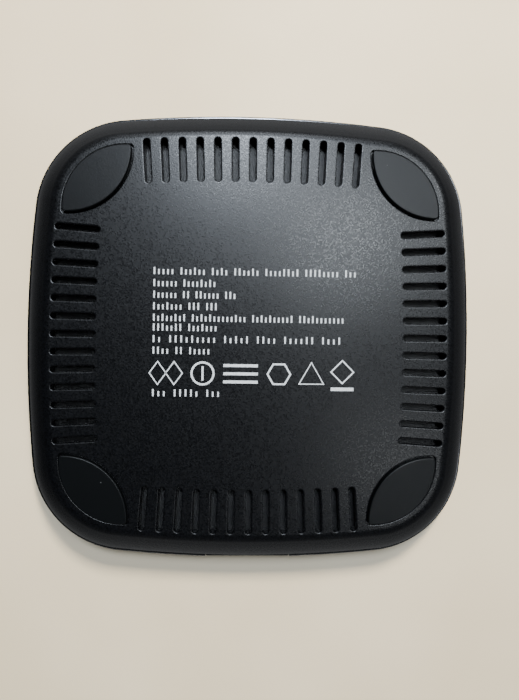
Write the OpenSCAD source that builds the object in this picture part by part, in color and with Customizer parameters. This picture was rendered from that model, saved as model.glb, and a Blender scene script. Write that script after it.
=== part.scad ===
/* [Body] */
// Width and depth of the pad, across the middle of its metal frame
pad_w = 97; // [88:1:120]
// Radius of the slight bow along each side
side_r = 275; // [200:5:400]
// Radius of the rounded corners
corner_r = 21; // [17:0.5:26]
// Height of the metal frame
frame_h = 3.4; // [3.2:0.1:5]
// Width of the metal frame's section, outside to inside
frame_t = 2.5; // [1.5:0.1:3.5]
// Thickness of the top cover
cover_t = 1.8; // [1.4:0.1:3]
// Radius of the top cover's outer edge
cover_edge_r = 1.1; // [0.4:0.1:1.3]

/* [Rear cover] */
// Wall of the rear cover
rear_wall = 1.8; // [1.4:0.1:2.4]
// How far the bevel reaches in from the outline
bevel_run = 6.2; // [5:0.1:8]
// Height of the bevel
bevel_rise = 6.4; // [5.4:0.1:9]
// Slope at which the bevel leaves the flat underside, in degrees
bevel_slope = 26; // [15:1:35]
// How far the rear cover stands back from the metal frame
rim_inset = 0.5; // [0.3:0.1:1]
// Height and depth of the shadow groove under the metal frame
groove = 0.4; // [0.2:0.05:0.6]
// Thickness of the lip that centres the metal frame
lip_t = 1; // [0.8:0.1:1.4]

/* [Vents] */
// Length of a vent slot
slot_l = 9.2; // [5:0.1:11]
// Width of a vent slot
slot_w = 1.3; // [0.8:0.1:2]
// Distance between slots at their outer ends
slot_pitch = 3.7; // [2.8:0.1:6]
// Distance from the slots' outer ends to the bevel
slot_edge = 0.95; // [0.6:0.05:3]
// Radius on which the slots' outer ends lie
fan_r = 332; // [250:1:500]
// Thickness of the dust screens behind the slots
screen_t = 0.2; // [0.1:0.05:0.4]

/* [Feet] */
// How far the feet stand below the underside
foot_proud = 0.8; // [0.5:0.1:2]
// Depth of the recess that a foot sits in
recess_depth = 0.6; // [0.4:0.1:0.8]
// Distance from a foot recess to the bevel
foot_edge = 1.6; // [1:0.1:4]
// Radius of a foot's inner edge
foot_bow_r = 13.4; // [12.5:0.1:16]
// Width of a foot recess at its middle
foot_w = 9.6; // [7:0.1:11]
// Gap between a foot and the wall of its recess
foot_gap = 0.25; // [0.1:0.05:0.4]
// Thickness of the feet's double-sided tape
foot_tape_t = 0.15; // [0.1:0.05:0.3]

/* [Coil] */
// Inner radius of the charging coil
coil_in_r = 10; // [7:0.5:14]
// Turns of wire in the coil
coil_turns = 12; // [8:1:13]
// Diameter of the coil's stranded wire
wire_d = 1.1; // [0.8:0.05:1.2]
// Distance from one turn to the next
turn_pitch = 1.16; // [1.14:0.02:1.4]
// Thickness of the ferrite sheet
ferrite_t = 0.8; // [0.4:0.1:1]
// Thickness of the shield plate
shield_t = 0.4; // [0.3:0.1:0.5]

/* [Top] */
// Middle radius of the silicone ring on the charging surface
grip_r = 26; // [18:0.5:34]
// Width of the silicone ring
grip_w = 2.4; // [1.5:0.1:5]
// How far the silicone ring stands above the charging surface
grip_proud = 0.4; // [0.2:0.1:0.8]

/* [Port] */
// Width of the port insert in the metal frame
bezel_w = 18.5; // [12:0.5:30]
// Outer width of the micro-USB socket
socket_w = 7.5; // [7.5:0.1:8]
// Outer height of the micro-USB socket
socket_h = 2.6; // [2.5:0.05:2.8]
// Depth of the micro-USB socket
socket_l = 5.6; // [5:0.1:6.5]

/* [Board] */
// Thickness of the circuit board
board_t = 1; // [0.8:0.1:1.6]
// Diameter of the screws' shanks
screw_d = 2; // [1.6:0.1:2.2]

/* [Hidden] */
$fn = 64;

// Clearances
fit = 0.1;       // between pieces that slide together
air = 0.5;       // round pieces that stay clear of each other
overlap = 0.5;   // how far a rim and its plate run into each other
past = 1;        // how far a cut runs past a face
touch = 0.02;    // where pieces or curves all but touch, as a screw's shank in the hole that it cuts

// Heights, from the feet up
flat_z = foot_proud;
floor_z = flat_z + rear_wall;
recess_z = flat_z + recess_depth;
rim_z = flat_z + bevel_rise;
frame_top = rim_z + frame_h;
top_z = frame_top + cover_t;
port_z = rim_z + frame_h / 2;
board_top = port_z - socket_h / 2;
board_z = board_top - board_t;

// The outline: four bowed sides, each an arc about a centre far behind it, joined by tangent corner arcs
half = pad_w / 2;
side_c = half - side_r;
reach = side_r - corner_r;
corner_c = (side_c + sqrt(2 * reach * reach - side_c * side_c)) / 2;
join_turn = atan2(corner_c, corner_c - side_c);
side_steps = 8;
corner_steps = 14;

// The bevel: an arc that leaves the underside at bevel_slope and ends at the rim
run = bevel_run - rim_inset;
chord_slope = atan2(bevel_rise, run);
bevel_r = norm([run, bevel_rise]) / (2 * sin(chord_slope - bevel_slope));
bevel_c = [-bevel_run - bevel_r * sin(bevel_slope), flat_z + bevel_r * cos(bevel_slope)];
inner_r = bevel_r - rear_wall;
bevel_steps = 8;
groove_slope = acos((bevel_c[1] - rim_z + groove) / bevel_r);
floor_slope = acos((bevel_c[1] - floor_z) / inner_r);
floor_edge = -bevel_c[0] - inner_r * sin(floor_slope);

// The lip and the skirt that centre the frame from below and from above
lip_in = frame_t + fit + lip_t;
lip_slope = asin((-bevel_c[0] - lip_in) / inner_r);
lip_z = bevel_c[1] - inner_r * cos(lip_slope);
lip_h = 1.1;
skirt_t = 1.2;
frame_chamfer = 0.4;
skirt_in = frame_t + fit + skirt_t;
cover_rim_in = skirt_in + 2;

// Feet: the space between two arcs, one about the corner's own centre
foot_out_r = corner_r - bevel_run - foot_edge;
foot_bow_c = corner_c + (foot_out_r - foot_w + foot_bow_r) / sqrt(2);
foot_tip_r = 0.7;
foot_mid = corner_c + (foot_out_r - foot_w / 2) / sqrt(2);
foot_top = recess_z - foot_tape_t;
// Distance between the arcs' centres, and how close a tip comes to the middle of a side
foot_span = sqrt(2) * (foot_bow_c - corner_c);
foot_tip = leaf_tip(foot_out_r, foot_bow_r);
foot_tip_x = corner_c + (foot_tip[0] - foot_tip[1]) / sqrt(2);

// Vents: as many slots as fit between the tips of two feet
slot_out = half - bevel_run - slot_edge;
slot_in = slot_out - slot_l;
slot_tip_gap = 1.2;
slots_half = floor((foot_tip_x - slot_w / 2 - slot_tip_gap) / slot_pitch);
slot_turn = asin(slot_pitch / fan_r);
screen_margin = 1.2;
screen_half = slots_half * slot_pitch + slot_w / 2 + screen_margin;

// Screws and the posts that they hold
post_r = 2.6;
boss_r = 3.2;
head_r = 1.8;
head_h = 1.2;
head_sink = 1.4;
boss_h = 1.6;
boss_top = floor_z + boss_h;
screw_end = 1.5;
board_head_h = 0.6;
board_post_r = 2.2;
board_screw_below = 3;

// Coil stack, from the top cover down
tape_t = 0.1;
coil_z = frame_top - tape_t - wire_d / 2;
coil_start_r = coil_in_r + wire_d / 2;
coil_out_r = coil_in_r + coil_turns * turn_pitch + wire_d;
ferrite_top = coil_z - wire_d / 2;
ferrite_z = ferrite_top - ferrite_t;
shield_z = ferrite_z - shield_t;
ferrite_margin = 0.8;
ferrite_r = coil_out_r + ferrite_margin;
shield_margin = 0.6;
shield_r = ferrite_r + shield_margin;
center_hole_r = 2.2;
lead_slot_w = wire_d + 0.8;
lead_z = (ferrite_top + shield_z) / 2;
lead_d = min(wire_d, ferrite_t + shield_t) - 2 * fit;
lead_land = 2;
lead_x = shield_r + lead_land;
outer_lead_y = 4;
bead_r = 1;
bead_z = frame_top - tape_t - bead_r;
thermistor_lead_d = 0.4;
thermistor_lead_gap = 1.1;

// Circuit board: a block between the housing posts, with a neck to the port and one to the front
post_gap = 3.3;
neck_step = 6;
board_half_l = foot_mid - post_r - post_gap;
neck_half = board_half_l - neck_step;
front_neck_half = neck_half - neck_step;
board_screw_gap = 1.7;
board_screw_x = slot_in - board_post_r - board_screw_gap;
board_half_w = max(lead_x, board_screw_x) + lead_land;
board_screw_y = board_half_l - neck_step;
pad_size = 14;
chip_size = [7, 7, 0.9];
mosfet_size = [5, 6, 1];
mosfet_x = 11;
mosfet_y = 4;
bridge_y = -2;
cap_size = [3.2, 2.5, 1.8];
cap_gap = 0.4;
resonant_count = 4;
resonant_y = -11.5;
inductor_size = [7, 7, 2.8];
inductor_cap_r = 2.6;
inductor_cap_h = 0.2;
inductor_x = -9.5;
input_count = 3;
input_y = 12.5;

// Port and light pipe
socket_mouth = half - 0.6;
socket_wall = 0.3;
socket_chamfer = 1;
tongue_w = 3.9;
tongue_t = 0.65;
contact_w = 0.4;
contact_t = 0.1;
contact_pitch = 0.65;
contact_count = 5;
pipe_w = 2.4;
pipe_h = 1;
pipe_back = half - skirt_in - 0.2;
pipe_leg = 1;
led_gap = 0.3;
led_size = [1.6, 1, 1];

grip_depth = 0.6;
grip_round = 0.3;

black = [0.06, 0.06, 0.065];
rubber = [0.12, 0.12, 0.125];
polished = [0.78, 0.78, 0.8];
steel = [0.62, 0.62, 0.64];
copper = [0.78, 0.43, 0.24];
ferrite_grey = [0.22, 0.22, 0.24];
board_green = [0.05, 0.3, 0.16];

function turned(p, a) = [p[0] * cos(a) - p[1] * sin(a), p[0] * sin(a) + p[1] * cos(a)];
function side_point(inset, a) = [side_c + (side_r - inset) * cos(a), (side_r - inset) * sin(a)];
function corner_point(inset, a) = [corner_c, corner_c] + (corner_r - inset) * [cos(a), sin(a)];
function outline_points(inset) = [
    for (q = [0 : 3]) each concat(
        [for (i = [0 : side_steps - 1])
            turned(side_point(inset, join_turn * (2 * i / side_steps - 1)), 90 * q)],
        [for (i = [0 : corner_steps - 1])
            turned(corner_point(inset, join_turn + (90 - 2 * join_turn) * i / corner_steps), 90 * q)]
    )
];
// Where two arcs a foot_span apart meet, as [along the diagonal, across it] from the first one's centre
function leaf_tip(r1, r2) = let (a = (foot_span * foot_span + r1 * r1 - r2 * r2) / (2 * foot_span))
    [a, sqrt(r1 * r1 - a * a)];
function bevel_point(r, slope) = bevel_c + r * [sin(slope), -cos(slope)];

module outline(inset) {
    polygon(outline_points(inset));
}

// A closed band round the outline. The profile's points are [distance outside the outline, height],
// anticlockwise when the outside is to the right.
module band(profile) {
    rings = [for (p = profile) [for (q = outline_points(-p[0])) [q[0], q[1], p[1]]]];
    n = len(rings[0]);
    m = len(profile);
    polyhedron(
        points = [for (ring = rings) each ring],
        faces = [for (j = [0 : m - 1], i = [0 : n - 1])
            [j * n + i, (j + 1) % m * n + i, (j + 1) % m * n + (i + 1) % n, j * n + (i + 1) % n]]
    );
}

module at_corners() {
    for (a = [0 : 90 : 270])
        rotate(a) children();
}

module at_housing_screws() {
    at_corners() translate([foot_mid, foot_mid, 0]) children();
}

module at_board_screws() {
    for (x = [-1, 1], y = [-1, 1])
        translate([x * board_screw_x, y * board_screw_y, 0]) children();
}

// The leaf between the two arcs. Each tip is rounded by a circle that all but touches both.
module foot_outline(gap) {
    r1 = foot_out_r - gap;
    r2 = foot_bow_r - gap;
    bow_c = [foot_span, 0];
    tip = leaf_tip(r1 - foot_tip_r, r2 - foot_tip_r);
    on_out = tip * r1 / (r1 - foot_tip_r);
    on_bow = bow_c + (tip - bow_c) * r2 / (r2 - foot_tip_r);
    translate([corner_c, corner_c]) rotate(45) intersection() {
        circle(r = r1);
        translate(bow_c) circle(r = r2);
        union() {
            translate([foot_span / 2, 0])
                square([2 * foot_w, 2 * min(on_out[1], on_bow[1])], center = true);
            for (s = [-1, 1])
                translate([tip[0], s * tip[1]]) circle(r = foot_tip_r + touch);
        }
    }
}

// The slots of one side, the +Y one
module slot_fan() {
    for (k = [-slots_half : slots_half])
        translate([0, slot_out - fan_r]) rotate(-k * slot_turn) translate([0, fan_r - slot_l / 2])
            obround(slot_w, slot_l);
}

module obround(w, l) {
    square([w, l - w], center = true);
    for (s = [-1, 1])
        translate([0, s * (l - w) / 2]) circle(d = w);
}

module port_cut(gap) {
    translate([-bezel_w / 2 - gap, half - skirt_in - past, rim_z])
        cube([bezel_w + 2 * gap, skirt_in + 2 * past, frame_h]);
}

// Rear cover
module rear_rim() {
    band(concat(
        [[-floor_edge - overlap, flat_z]],
        [for (i = [0 : bevel_steps - 1])
            bevel_point(bevel_r, bevel_slope + (groove_slope - bevel_slope) * i / (bevel_steps - 1))],
        [
            [-rim_inset - groove, rim_z - groove],
            [-rim_inset - groove, rim_z],
            [-frame_t - fit, rim_z],
            [-frame_t - fit, rim_z + lip_h],
            [-lip_in, rim_z + lip_h],
        ],
        [for (i = [0 : bevel_steps - 1])
            bevel_point(inner_r, lip_slope + (floor_slope - lip_slope) * i / (bevel_steps - 1))],
        [[-floor_edge - overlap, floor_z]]
    ));
}

module rear_plate() {
    difference() {
        union() {
            translate([0, 0, flat_z]) linear_extrude(rear_wall) outline(floor_edge);
            at_housing_screws() translate([0, 0, floor_z - rear_wall / 2])
                cylinder(r = boss_r, h = rear_wall / 2 + boss_h);
            at_board_screws() translate([0, 0, floor_z - rear_wall / 2])
                cylinder(r = board_post_r, h = board_z - floor_z + rear_wall / 2);
        }
        at_corners() translate([0, 0, flat_z - past]) linear_extrude(rear_wall + 2 * past) slot_fan();
        at_corners() translate([0, 0, flat_z - past]) linear_extrude(recess_depth + past) foot_outline(0);
        at_housing_screws() {
            translate([0, 0, flat_z]) cylinder(r = head_r + fit, h = recess_depth + head_sink);
            translate([0, 0, flat_z]) cylinder(d = screw_d + 2 * fit, h = boss_top);
        }
        at_board_screws() translate([0, 0, board_z - board_screw_below])
            cylinder(d = screw_d, h = board_screw_below + past);
    }
}

module rear_cover() {
    color(black) difference() {
        union() {
            rear_rim();
            rear_plate();
        }
        port_cut(fit);
    }
}

// Metal frame and the pieces set into it
module frame_band() {
    band([
        [-frame_chamfer, rim_z],
        [0, rim_z + frame_chamfer],
        [0, frame_top - frame_chamfer],
        [-frame_chamfer, frame_top],
        [-frame_t, frame_top],
        [-frame_t, rim_z],
    ]);
}

module metal_frame() {
    color(polished) difference() {
        frame_band();
        port_cut(0);
        translate([-pipe_w / 2 - fit, -half - past, port_z - pipe_h / 2 - fit])
            cube([pipe_w + 2 * fit, frame_t + 2 * past, pipe_h + 2 * fit]);
    }
}

module port_bezel() {
    block_y = half - skirt_in;
    color(black) difference() {
        intersection() {
            translate([0, 0, rim_z + fit]) linear_extrude(frame_h - 2 * fit) outline(fit);
            translate([-bezel_w / 2 + fit, block_y, rim_z]) cube([bezel_w - 2 * fit, skirt_in, frame_h]);
        }
        translate([0, block_y - past, port_z]) rotate([-90, 0, 0])
            linear_extrude(skirt_in + 2 * past) socket_outline(fit);
    }
}

module light_pipe() {
    color([0.9, 0.92, 0.95]) {
        translate([-pipe_w / 2, -half + fit, port_z - pipe_h / 2])
            cube([pipe_w, half - fit - pipe_back + pipe_leg, pipe_h]);
        translate([-pipe_w / 2, -pipe_back, board_top + fit])
            cube([pipe_w, pipe_leg, port_z + pipe_h / 2 - board_top - fit]);
    }
}

// Top cover and what is on it
module cover_rim() {
    edge_c = [-rim_inset - cover_edge_r, top_z - cover_edge_r];
    edge_steps = 6;
    band(concat(
        [[-cover_rim_in, frame_top], [-skirt_in, frame_top], [-skirt_in, rim_z + lip_h + fit]],
        [[-frame_t - fit, rim_z + lip_h + fit], [-frame_t - fit, frame_top], [-rim_inset, frame_top]],
        [for (i = [0 : edge_steps])
            edge_c + cover_edge_r * [cos(90 * i / edge_steps), sin(90 * i / edge_steps)]],
        [[-cover_rim_in, top_z]]
    ));
}

module cover_plate() {
    difference() {
        union() {
            translate([0, 0, frame_top]) linear_extrude(cover_t) outline(cover_rim_in - overlap);
            at_housing_screws() translate([0, 0, boss_top])
                cylinder(r = post_r, h = frame_top - boss_top + overlap);
        }
        at_housing_screws() translate([0, 0, boss_top - past])
            cylinder(d = screw_d, h = frame_top - boss_top + past - screw_end + fit);
        translate([0, 0, top_z - grip_depth]) rotate_extrude()
            translate([grip_r - grip_w / 2, 0]) square([grip_w, grip_depth + past]);
    }
}

module top_cover() {
    color(black) difference() {
        union() {
            cover_rim();
            cover_plate();
        }
        port_cut(fit);
        translate([-pipe_w / 2 - fit, -half - past, port_z - pipe_h / 2 - fit])
            cube([pipe_w + 2 * fit, skirt_in + 2 * past, pipe_h + 2 * fit]);
    }
}

module grip_ring() {
    h = grip_depth + grip_proud;
    w = grip_w / 2 - fit;
    color(rubber) translate([0, 0, top_z - grip_depth]) rotate_extrude() translate([grip_r, 0])
        polygon([[-w, 0], [w, 0], [w, h - grip_round], [w - grip_round, h], [grip_round - w, h],
            [-w, h - grip_round]]);
}

// Feet and their tape, for the +X +Y corner
module foot() {
    color(rubber) linear_extrude(foot_top) foot_outline(foot_gap);
}

module foot_tape() {
    color([0.75, 0.75, 0.7]) difference() {
        translate([0, 0, foot_top]) linear_extrude(foot_tape_t) foot_outline(foot_gap + 0.3);
        translate([foot_mid, foot_mid, foot_top - past])
            cylinder(r = head_r + fit, h = foot_tape_t + 2 * past);
    }
}

// Fasteners
module screw(h, r, shank, recess) {
    difference() {
        union() {
            cylinder(r = r, h = h);
            translate([0, 0, h / 2]) cylinder(d = screw_d - 2 * touch, h = shank + h / 2);
        }
        translate([0, 0, -past]) cylinder(r = r / 2, h = past + recess, $fn = 6);
    }
}

module housing_screws() {
    head_z = recess_z + head_sink - head_h;
    color(steel) at_housing_screws() translate([0, 0, head_z])
        screw(head_h, head_r, frame_top - screw_end - head_z - head_h, head_h / 2);
}

module board_screws() {
    color(steel) at_board_screws() translate([0, 0, board_top + board_head_h]) mirror([0, 0, 1])
        screw(board_head_h, head_r, board_t + board_screw_below - fit, board_head_h / 2);
}

// Dust screens, for the +Y side
module vent_screen() {
    color([0.25, 0.25, 0.25]) translate([0, 0, floor_z]) linear_extrude(screen_t) intersection() {
        outline(floor_edge + fit);
        translate([-screen_half, slot_in - screen_margin]) square([2 * screen_half, half]);
    }
}

// Coil stack
module coil_tape() {
    color([0.85, 0.8, 0.6]) translate([0, 0, frame_top - tape_t]) difference() {
        cylinder(r = coil_out_r, h = tape_t);
        translate([0, 0, -past]) cylinder(r = coil_in_r, h = tape_t + 2 * past);
    }
}

// A spiral of half turns, whose centres lie half a pitch apart by turns
module charging_coil() {
    color(copper) for (k = [0 : 2 * coil_turns - 1])
        translate([k % 2 * turn_pitch / 2, 0, coil_z]) rotate(180 * (k % 2))
            rotate_extrude(angle = 180, $fn = 96)
                translate([coil_start_r + k * turn_pitch / 2, 0]) circle(d = wire_d, $fn = 16);
}

// A wire with square turns, rounded at each
module lead(points) {
    for (i = [0 : len(points) - 2]) {
        v = points[i + 1] - points[i];
        translate(points[i]) rotate([0, acos(v[2] / norm(v)), atan2(v[1], v[0])])
            cylinder(d = lead_d, h = norm(v));
    }
    for (i = [1 : len(points) - 2])
        translate(points[i]) sphere(d = lead_d);
}

// From inside the coil, down and through the slot in the ferrite and shield, to the board
module coil_lead_inner() {
    y = -lead_d / 2;
    color(copper) lead([
        [coil_start_r, y, coil_z],
        [coil_start_r, y, lead_z],
        [lead_x, y, lead_z],
        [lead_x, y, board_top],
    ]);
}

// From the coil's outer end, over the shield's edge, to the board
module coil_lead_outer() {
    x = coil_out_r - wire_d / 2;
    color(copper) lead([
        [x, 0, coil_z],
        [x, outer_lead_y, coil_z],
        [lead_x, outer_lead_y, coil_z],
        [lead_x, outer_lead_y, board_top],
    ]);
}

module backing(r, z, t) {
    translate([0, 0, z]) difference() {
        cylinder(r = r, h = t);
        translate([0, 0, -past]) cylinder(r = center_hole_r, h = t + 2 * past);
        translate([coil_in_r - lead_slot_w, -lead_slot_w / 2, -past])
            cube([r + past - coil_in_r + lead_slot_w, lead_slot_w, t + 2 * past]);
    }
}

module ferrite_sheet() {
    color(ferrite_grey) backing(ferrite_r, ferrite_z, ferrite_t);
}

module shield_plate() {
    color(steel) backing(shield_r, shield_z, shield_t);
}

module thermistor() {
    color([0.15, 0.15, 0.2]) difference() {
        translate([0, 0, bead_z]) sphere(r = bead_r);
        thermistor_leads();
    }
}

// From the board up into the bead, as far as its middle
module thermistor_leads() {
    color(steel) for (s = [-1, 1])
        translate([s * thermistor_lead_gap / 2, 0, board_top])
            cylinder(d = thermistor_lead_d, h = bead_z - board_top);
}

// Circuit board and what is on it
module circuit_board() {
    color(board_green) difference() {
        translate([0, 0, board_z]) linear_extrude(board_t) intersection() {
            outline(lip_in + air);
            union() {
                square([2 * board_half_w, 2 * board_half_l], center = true);
                translate([-neck_half, 0]) square([2 * neck_half, half]);
                translate([-front_neck_half, -half]) square([2 * front_neck_half, half]);
            }
        }
        at_board_screws() translate([0, 0, board_z - past])
            cylinder(d = screw_d + 2 * fit, h = board_t + 2 * past);
    }
}

module thermal_pad() {
    color([0.7, 0.75, 0.85]) translate([-pad_size / 2, center_hole_r + 2, board_top])
        cube([pad_size, pad_size, shield_z - board_top]);
}

// The mouth of a micro-USB socket, seen from outside, with its two lower corners cut away
module socket_outline(grow) {
    w = socket_w / 2 + grow;
    h = socket_h / 2 + grow;
    polygon([[-w, -h], [w, -h], [w, h - socket_chamfer], [w - socket_chamfer, h], [socket_chamfer - w, h],
        [-w, h - socket_chamfer]]);
}

module usb_socket_shell() {
    color(steel) translate([0, socket_mouth - socket_l, port_z]) rotate([-90, 0, 0]) difference() {
        linear_extrude(socket_l) socket_outline(0);
        translate([0, 0, socket_wall]) linear_extrude(socket_l) socket_outline(-socket_wall);
    }
}

module usb_socket_tongue() {
    color(black) translate([-tongue_w / 2, socket_mouth - socket_l + socket_wall, port_z])
        cube([tongue_w, socket_l - 2 * socket_wall - air, tongue_t]);
}

module usb_contacts() {
    color([0.85, 0.68, 0.3]) for (i = [0 : contact_count - 1])
        translate([(i - (contact_count - 1) / 2) * contact_pitch - contact_w / 2,
            socket_mouth - socket_l + socket_wall, port_z - contact_t])
            cube([contact_w, socket_l - 2 * socket_wall - 2 * air, contact_t]);
}

// A component on the board's lower face: size along X and Y, and height
module under_board(x, y, size) {
    translate([x - size[0] / 2, y - size[1] / 2, board_z - size[2]]) cube(size);
}

module controller_chip() {
    color([0.1, 0.1, 0.11]) under_board(0, bridge_y, chip_size);
}

module mosfets() {
    color([0.12, 0.12, 0.13]) for (x = [-mosfet_x, mosfet_x], y = [-mosfet_y, mosfet_y])
        under_board(x, bridge_y + y, mosfet_size);
}

module resonant_capacitors() {
    pitch = cap_size[0] + cap_gap;
    color([0.72, 0.55, 0.35]) for (i = [0 : resonant_count - 1])
        under_board(pitch * (i - (resonant_count - 1) / 2), resonant_y, cap_size);
}

module power_inductor() {
    color([0.3, 0.3, 0.32]) {
        under_board(inductor_x, input_y, inductor_size);
        translate([inductor_x, input_y, board_z - inductor_size[2] - inductor_cap_h])
            cylinder(r = inductor_cap_r, h = inductor_size[2] / 2);
    }
}

module input_capacitors() {
    pitch = cap_size[1] + cap_gap;
    color([0.72, 0.55, 0.35]) for (i = [0 : input_count - 1])
        under_board(pitch * i, input_y, [cap_size[1], cap_size[0], cap_size[2]]);
}

module status_led() {
    color([0.95, 0.95, 0.85])
        translate([-led_size[0] / 2, -pipe_back + pipe_leg + led_gap, board_top]) cube(led_size);
}

rear_cover();
metal_frame();
port_bezel();
light_pipe();
top_cover();
grip_ring();
rotate(180) foot();  // foot_front_left
rotate(270) foot();  // foot_front_right
rotate(90) foot();  // foot_rear_left
foot();  // foot_rear_right
rotate(180) foot_tape();  // foot_tape_front_left
rotate(270) foot_tape();  // foot_tape_front_right
rotate(90) foot_tape();  // foot_tape_rear_left
foot_tape();  // foot_tape_rear_right
housing_screws();
rotate(180) vent_screen();  // vent_screen_front
vent_screen();  // vent_screen_rear
rotate(90) vent_screen();  // vent_screen_left
rotate(270) vent_screen();  // vent_screen_right
coil_tape();
charging_coil();
coil_lead_inner();
coil_lead_outer();
ferrite_sheet();
shield_plate();
thermistor();
thermistor_leads();
circuit_board();
board_screws();
thermal_pad();
usb_socket_shell();
usb_socket_tongue();
usb_contacts();
controller_chip();
mosfets();
resonant_capacitors();
power_inductor();
input_capacitors();
status_led();
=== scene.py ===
import math
import random

import bmesh
import bpy
from mathutils import Matrix, Vector


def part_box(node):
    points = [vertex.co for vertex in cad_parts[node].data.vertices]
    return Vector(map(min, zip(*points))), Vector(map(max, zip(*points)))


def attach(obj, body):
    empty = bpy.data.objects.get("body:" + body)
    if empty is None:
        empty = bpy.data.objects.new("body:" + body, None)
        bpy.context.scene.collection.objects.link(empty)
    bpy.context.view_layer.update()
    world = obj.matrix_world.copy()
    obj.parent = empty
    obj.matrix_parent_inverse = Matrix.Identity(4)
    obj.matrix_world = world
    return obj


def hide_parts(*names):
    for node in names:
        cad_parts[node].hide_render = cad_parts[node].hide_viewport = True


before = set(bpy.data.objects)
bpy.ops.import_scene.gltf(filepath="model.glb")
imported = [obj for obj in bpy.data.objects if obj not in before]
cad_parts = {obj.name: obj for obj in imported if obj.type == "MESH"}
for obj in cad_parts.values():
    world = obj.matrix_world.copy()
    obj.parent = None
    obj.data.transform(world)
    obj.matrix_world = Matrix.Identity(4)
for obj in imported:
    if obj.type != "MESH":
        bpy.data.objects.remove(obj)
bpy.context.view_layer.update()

mm = 0.001
sharpFrom = 34
# how far a cutter runs past what it cuts
past = 1 * mm

# Heights and half widths that the pieces share, read from the frame
topLow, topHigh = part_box("top_cover")
ringLow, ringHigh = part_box("metal_frame")
gripLow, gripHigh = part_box("grip_ring")
screenLow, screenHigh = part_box("vent_screen_rear")
halfWidth = ringHigh.x
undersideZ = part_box("rear_cover")[0].z
floorZ = screenLow.z


# Operators

def deselectAll():
    if bpy.context.mode != "OBJECT":
        bpy.ops.object.mode_set(mode="OBJECT")
    bpy.ops.object.select_all(action="DESELECT")


def pick(*pieces):
    deselectAll()
    for piece in pieces:
        piece.select_set(True)
    bpy.context.view_layer.objects.active = pieces[0]


def named(name):
    piece = bpy.context.active_object
    piece.name = name
    piece.data.name = name
    return piece


def settle(piece):
    # the place goes into the mesh, so that the object sits at the origin
    pick(piece)
    bpy.ops.object.transform_apply(location=True, rotation=True, scale=True)
    return piece


def applyModifier(piece, kind, **settings):
    pick(piece)
    modifier = piece.modifiers.new(kind.title(), kind)
    for key, value in settings.items():
        setattr(modifier, key, value)
    bpy.ops.object.modifier_apply(modifier=modifier.name)
    return piece


def smooth(piece):
    # faces that meet at less than sharpFrom degrees look like one curve
    pick(piece)
    bpy.ops.object.shade_smooth_by_angle(angle=math.radians(sharpFrom))
    return applyModifier(piece, "WEIGHTED_NORMAL", mode="FACE_AREA", weight=60, keep_sharp=True)


def cleanNormals(piece):
    pick(piece)
    bpy.ops.object.mode_set(mode="EDIT")
    bpy.ops.mesh.select_all(action="SELECT")
    bpy.ops.mesh.remove_doubles(threshold=1e-7)
    bpy.ops.mesh.normals_make_consistent(inside=False)
    bpy.ops.object.mode_set(mode="OBJECT")
    return piece


def joined(name, pieces):
    pick(*pieces)
    if len(pieces) > 1:
        bpy.ops.object.join()
    return named(name)


def copied(piece, turn=0, move=(0, 0, 0)):
    # a copy with its own mesh, turned about the pad's middle and moved
    pick(piece)
    bpy.ops.object.duplicate(linked=False)
    copy = bpy.context.active_object
    copy.matrix_world = Matrix.Translation(Vector(move)) @ Matrix.Rotation(turn, 4, "Z") @ copy.matrix_world
    return settle(copy)


def cut(piece, cutter, how="DIFFERENCE"):
    applyModifier(piece, "BOOLEAN", operation=how, object=cutter, solver="EXACT")
    bpy.data.objects.remove(cutter)
    return piece


# The outline: four bowed sides joined by tangent corner arcs, as in the frame's own source

outline = {"sideRadius": 275 * mm, "cornerRadius": 21 * mm, "sideSteps": 16, "cornerSteps": 28}
sideCentre = halfWidth - outline["sideRadius"]
reach = outline["sideRadius"] - outline["cornerRadius"]
cornerCentre = (sideCentre + math.sqrt(2 * reach * reach - sideCentre * sideCentre)) / 2
joinTurn = math.atan2(cornerCentre, cornerCentre - sideCentre)


def outlinePoints(inset):
    points = []
    for quarter in range(4):
        turn = Matrix.Rotation(quarter * math.pi / 2, 2)
        for i in range(outline["sideSteps"]):
            a = joinTurn * (2 * i / outline["sideSteps"] - 1)
            r = outline["sideRadius"] - inset
            points.append(turn @ Vector((sideCentre + r * math.cos(a), r * math.sin(a))))
        for i in range(outline["cornerSteps"]):
            a = joinTurn + (math.pi / 2 - 2 * joinTurn) * i / outline["cornerSteps"]
            r = outline["cornerRadius"] - inset
            points.append(turn @ Vector((cornerCentre + r * math.cos(a), cornerCentre + r * math.sin(a))))
    return points


# Materials

def toLinear(hexColour):
    def channel(value):
        value /= 255
        return value / 12.92 if value <= 0.04045 else ((value + 0.055) / 1.055) ** 2.4
    return tuple(channel(int(hexColour[i:i + 2], 16)) for i in (1, 3, 5)) + (1,)


def addNode(tree, kind, settings=None, **links):
    # settings are the node's own properties, or its inputs by name or number; links are made to inputs
    node = tree.nodes.new("ShaderNode" + kind)
    for key, value in (settings or {}).items():
        if isinstance(key, str) and hasattr(node, key):
            setattr(node, key, value)
        else:
            node.inputs[key].default_value = value
    for key, source in links.items():
        tree.links.new(source, node.inputs[int(key[1:])] if key[0] == "i" and key[1:].isdigit()
                       else node.inputs[key.replace("_", " ")])
    return node


def newMaterial(name, roughness, metallic=0.0, **sockets):
    material = bpy.data.materials.new(name)
    material.use_nodes = True
    tree = material.node_tree
    shader = tree.nodes["Principled BSDF"]
    shader.inputs["Roughness"].default_value = roughness
    shader.inputs["Metallic"].default_value = metallic
    for key, value in sockets.items():
        shader.inputs[key.replace("_", " ")].default_value = value
    return material, tree, shader


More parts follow.
